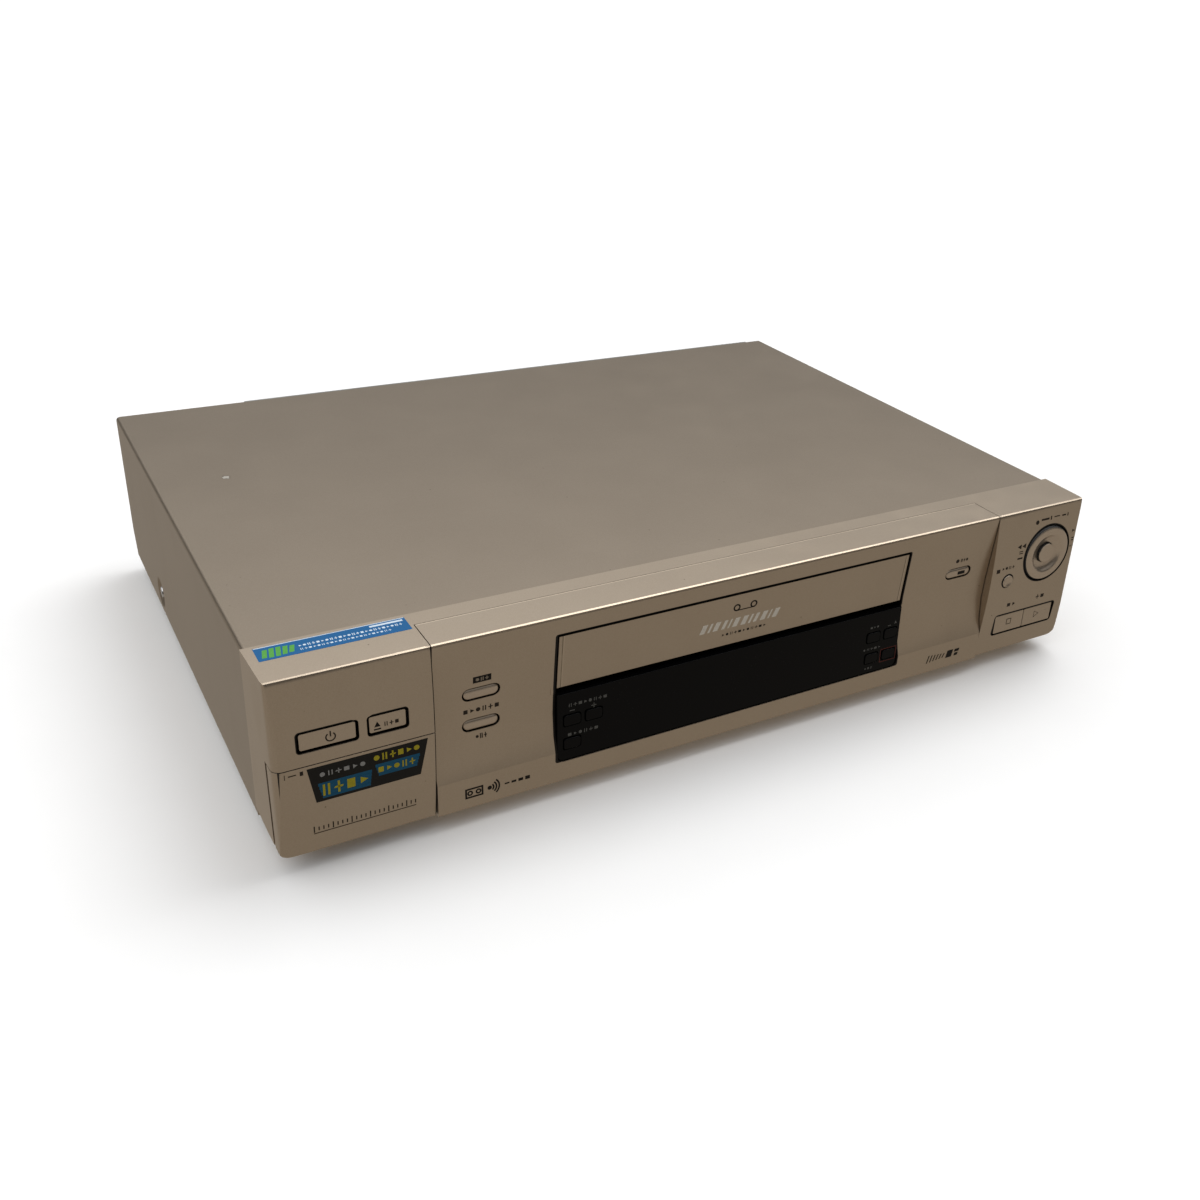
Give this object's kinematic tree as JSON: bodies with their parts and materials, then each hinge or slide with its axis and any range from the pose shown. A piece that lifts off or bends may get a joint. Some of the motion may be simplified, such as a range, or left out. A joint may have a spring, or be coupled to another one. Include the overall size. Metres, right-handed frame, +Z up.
{
  "type": "video cassette recorder",
  "caption": "Front-loading VHS cassette recorder in champagne paint, with cassette flap, drop-down door, keys, shuttle ring, moving cassette carriage and tape deck.",
  "frame": {"origin": "Middle of the bounding box on the ground plane, under the feet", "axes": "+X to the right seen from the front, +Y to the back, +Z up"},
  "size_m": [0.43, 0.323, 0.092],
  "materials": {
    "cover_paint": "satin",
    "front_paint": "satin metallic",
    "black_gloss": "gloss",
    "black_plastic": "matte",
    "zinc_steel": "satin",
    "bright_metal": "polished",
    "rubber": "matte",
    "circuit_board": "satin",
    "glass": "polished"
  },
  "bodies": {
    "root": {"top_cover": "cover_paint", "base_pan": "zinc_steel", "rear_panel": "zinc_steel", "front_bezel": "front_paint", "centre_fascia": "front_paint", "display_lens": "black_gloss", "screw_side_left": "bright_metal", "screw_side_right": "bright_metal", "screw_rear_left": "bright_metal", "screw_rear_right": "bright_metal", "foot_front_left": "rubber", "foot_front_right": "rubber", "foot_rear_left": "rubber", "foot_rear_right": "rubber", "main_board": "circuit_board", "power_board": "circuit_board", "front_board": "circuit_board", "display_tube": "glass", "front_jack_block": "black_plastic", "rear_jack_block": "black_plastic", "tuner_can": "zinc_steel", "mains_inlet": "black_plastic", "deck_frame": "zinc_steel", "rail_right": "zinc_steel", "rail_left": "zinc_steel", "lower_drum": "bright_metal", "audio_head": "bright_metal", "erase_head": "bright_metal", "capstan_motor": "zinc_steel", "loading_motor": "zinc_steel"},
    "flap": {"cassette_flap": "front_paint"},
    "door": {"av_door": "front_paint"},
    "power_key": {"power_button": "front_paint"},
    "eject_key": {"eject_button": "front_paint"},
    "stop_key": {"stop_button": "front_paint"},
    "play_key": {"play_button": "front_paint"},
    "upper_oval_key": {"upper_oval_button": "front_paint"},
    "lower_oval_key": {"lower_oval_button": "front_paint"},
    "record_key": {"record_button": "front_paint"},
    "round_key": {"round_button": "front_paint"},
    "lens_key_a": {"lens_key_left_lower": "black_gloss"},
    "lens_key_b": {"lens_key_left_upper": "black_gloss"},
    "lens_key_c": {"lens_key_left_inner": "black_gloss"},
    "lens_key_d": {"lens_key_right_lower": "black_gloss"},
    "lens_key_e": {"lens_key_right_upper": "black_gloss"},
    "lens_key_f": {"lens_key_right_outer_lower": "black_gloss"},
    "lens_key_g": {"lens_key_right_outer_upper": "black_gloss"},
    "ring": {"shuttle_ring": "front_paint"},
    "pause_key": {"pause_button": "front_paint"},
    "carriage_slider": {"slider_left": "black_plastic", "slider_right": "black_plastic"},
    "carriage": {"cassette_carriage": "zinc_steel"},
    "supply_table": {"supply_reel": "black_plastic"},
    "takeup_table": {"takeup_reel": "black_plastic"},
    "guide_left": {"guide_sled_left": "bright_metal"},
    "guide_right": {"guide_sled_right": "bright_metal"},
    "head_drum": {"upper_drum": "bright_metal"},
    "capstan_shaft": {"capstan": "bright_metal"},
    "pinch_lever": {"pinch_arm": "zinc_steel"},
    "pinch_wheel": {"pinch_roller": "rubber"}
  },
  "joints": [
    {"name": "flap_hinge", "type": "hinge", "parent": "root", "child": "flap", "pos_m": [0.0019, -0.15619, 0.0809], "axis": [1, 0, 0], "range_deg": [0, 88], "stiffness_Nm_per_rad": 0.003},
    {"name": "door_hinge", "type": "hinge", "parent": "root", "child": "door", "pos_m": [-0.182, -0.15308, 0.0112], "axis": [1, 0, 0], "range_deg": [0, 90]},
    {"name": "power_press", "type": "slide", "parent": "root", "child": "power_key", "axis": [0, 1, 0], "range_m": [0, 0.001], "stiffness_N_per_m": 300},
    {"name": "eject_press", "type": "slide", "parent": "root", "child": "eject_key", "axis": [0, 1, 0], "range_m": [0, 0.001], "stiffness_N_per_m": 300},
    {"name": "stop_press", "type": "slide", "parent": "root", "child": "stop_key", "axis": [0, 1, 0], "range_m": [0, 0.001], "stiffness_N_per_m": 300},
    {"name": "play_press", "type": "slide", "parent": "root", "child": "play_key", "axis": [0, 1, 0], "range_m": [0, 0.001], "stiffness_N_per_m": 300},
    {"name": "upper_oval_press", "type": "slide", "parent": "root", "child": "upper_oval_key", "axis": [0, 1, 0], "range_m": [0, 0.001], "stiffness_N_per_m": 300},
    {"name": "lower_oval_press", "type": "slide", "parent": "root", "child": "lower_oval_key", "axis": [0, 1, 0], "range_m": [0, 0.001], "stiffness_N_per_m": 300},
    {"name": "record_press", "type": "slide", "parent": "root", "child": "record_key", "axis": [0, 1, 0], "range_m": [0, 0.001], "stiffness_N_per_m": 300},
    {"name": "round_press", "type": "slide", "parent": "root", "child": "round_key", "axis": [0, 1, 0], "range_m": [0, 0.001], "stiffness_N_per_m": 300},
    {"name": "lens_press_a", "type": "slide", "parent": "root", "child": "lens_key_a", "axis": [0, 1, 0], "range_m": [0, 0.0008], "stiffness_N_per_m": 300},
    {"name": "lens_press_b", "type": "slide", "parent": "root", "child": "lens_key_b", "axis": [0, 1, 0], "range_m": [0, 0.0008], "stiffness_N_per_m": 300},
    {"name": "lens_press_c", "type": "slide", "parent": "root", "child": "lens_key_c", "axis": [0, 1, 0], "range_m": [0, 0.0008], "stiffness_N_per_m": 300},
    {"name": "lens_press_d", "type": "slide", "parent": "root", "child": "lens_key_d", "axis": [0, 1, 0], "range_m": [0, 0.0008], "stiffness_N_per_m": 300},
    {"name": "lens_press_e", "type": "slide", "parent": "root", "child": "lens_key_e", "axis": [0, 1, 0], "range_m": [0, 0.0008], "stiffness_N_per_m": 300},
    {"name": "lens_press_f", "type": "slide", "parent": "root", "child": "lens_key_f", "axis": [0, 1, 0], "range_m": [0, 0.0008], "stiffness_N_per_m": 300},
    {"name": "lens_press_g", "type": "slide", "parent": "root", "child": "lens_key_g", "axis": [0, 1, 0], "range_m": [0, 0.0008], "stiffness_N_per_m": 300},
    {"name": "shuttle_turn", "type": "hinge", "parent": "root", "child": "ring", "pos_m": [0.192, -0.158, 0.0647], "axis": [0, 1, 0], "range_deg": [-65, 65], "stiffness_Nm_per_rad": 0.01},
    {"name": "pause_press", "type": "slide", "parent": "root", "child": "pause_key", "axis": [0, 1, 0], "range_m": [0, 0.001], "stiffness_N_per_m": 300},
    {"name": "carriage_travel", "type": "slide", "parent": "root", "child": "carriage_slider", "axis": [0, -1, 0], "range_m": [0, 0.062]},
    {"name": "carriage_lift", "type": "slide", "parent": "carriage_slider", "child": "carriage", "axis": [0, 0, 1], "range_m": [-0.02, 0]},
    {"name": "supply_turn", "type": "hinge", "parent": "root", "child": "supply_table", "pos_m": [-0.0441, -0.06628, 0.03], "axis": [0, 0, 1], "continuous": true},
    {"name": "takeup_turn", "type": "hinge", "parent": "root", "child": "takeup_table", "pos_m": [0.0479, -0.06628, 0.03], "axis": [0, 0, 1], "continuous": true},
    {"name": "guide_left_run", "type": "slide", "parent": "root", "child": "guide_left", "axis": [-0.4731, 0.881, 0], "range_m": [0, 0.0612]},
    {"name": "guide_right_run", "type": "slide", "parent": "root", "child": "guide_right", "axis": [0.4731, 0.881, 0], "range_m": [0, 0.0612]},
    {"name": "drum_spin", "type": "hinge", "parent": "root", "child": "head_drum", "pos_m": [0.0019, 0.04572, 0.0397], "axis": [0, -0.1028, 0.9947], "continuous": true},
    {"name": "capstan_spin", "type": "hinge", "parent": "root", "child": "capstan_shaft", "pos_m": [0.0639, 0.00572, 0.03], "axis": [0, 0, 1], "continuous": true},
    {"name": "pinch_swing", "type": "hinge", "parent": "root", "child": "pinch_lever", "pos_m": [0.0919, 0.01872, 0.044], "axis": [0, 0, 1], "range_deg": [-25, 0]},
    {"name": "pinch_roll", "type": "hinge", "parent": "pinch_lever", "child": "pinch_wheel", "pos_m": [0.07743, 0.00153, 0.036], "axis": [0, 0, 1], "continuous": true}
  ],
  "couplings": [
    {"joint": "guide_right_run", "follows": "guide_left_run", "ratio": 1}
  ]
}
